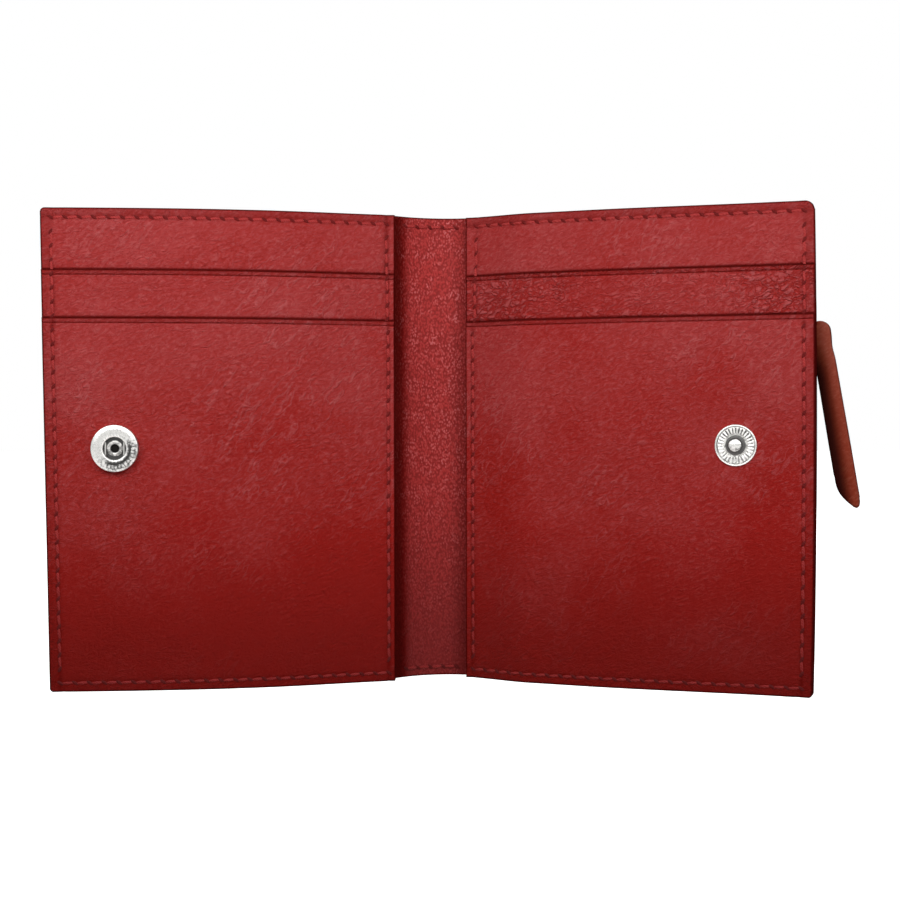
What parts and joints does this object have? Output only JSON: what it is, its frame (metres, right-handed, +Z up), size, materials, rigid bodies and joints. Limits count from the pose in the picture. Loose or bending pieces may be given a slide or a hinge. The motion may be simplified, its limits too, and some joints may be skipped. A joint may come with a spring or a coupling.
{
  "type": "snap wallet",
  "caption": "Leather bifold wallet with card pockets, a snap to close it and a zipped coin pocket with a hanging pull, standing open.",
  "frame": {"origin": "middle of the spine's bottom edge, on the outer leather, where the wallet stands", "axes": "+Z up, +X to the right as seen from the open inside, inside faces -Y"},
  "size_m": [0.2078, 0.0397, 0.124],
  "materials": {
    "leather_red": "lightly glazed, creased",
    "leather_pebbled": "pebbled grain",
    "leather_strap": "smooth, satin",
    "lining_red": "fine weave",
    "tape_red": "woven tape",
    "nickel": "bright, lightly worn",
    "spring_steel": "satin"
  },
  "bodies": {
    "spine": {"cover_spine": "leather_red", "lining_spine": "leather_pebbled"},
    "left_half": {"cover_left": "leather_red", "lining_left": "lining_red", "card_base_left": "leather_red", "card_pocket_upper_left": "leather_red", "card_pocket_front_left": "leather_red", "snap_socket": "nickel", "snap_spring": "spring_steel", "snap_socket_rivet": "spring_steel"},
    "right_half": {"cover_right": "leather_red", "lining_right": "lining_red", "card_base_right": "leather_red", "card_pocket_upper_right": "leather_red", "card_pocket_front_right": "leather_red", "snap_stud": "nickel", "snap_stud_rivet": "spring_steel", "coin_lining_front": "lining_red", "coin_lining_back": "lining_red", "zip_tape_front": "tape_red", "zip_tape_back": "tape_red", "zip_teeth_front": "nickel", "zip_teeth_back": "nickel", "zip_top_stop": "nickel", "zip_bottom_stop": "nickel"},
    "slider": {"zip_slider": "nickel"},
    "pull": {"pull_pin": "spring_steel", "pull_strap_front": "leather_strap", "pull_strap_back": "leather_strap"}
  },
  "joints": [
    {"name": "left_fold", "type": "hinge", "parent": "spine", "child": "left_half", "pos_m": [-0.00908, -0.00722, 0.062], "axis": [0, 0, 1], "range_deg": [-4, 96.8]},
    {"name": "right_fold", "type": "hinge", "parent": "spine", "child": "right_half", "pos_m": [0.01148, -0.00167, 0.062], "axis": [0, 0, -1], "range_deg": [-44.6, 56.8]},
    {"name": "zip_slide", "type": "slide", "parent": "right_half", "child": "slider", "axis": [0, 0, 1], "range_m": [-0.07, 0]},
    {"name": "pull_swing", "type": "hinge", "parent": "slider", "child": "pull", "pos_m": [0.09897, -0.03213, 0.0915], "axis": [-0.3567, -0.9342, 0], "range_deg": [0, 130]}
  ]
}
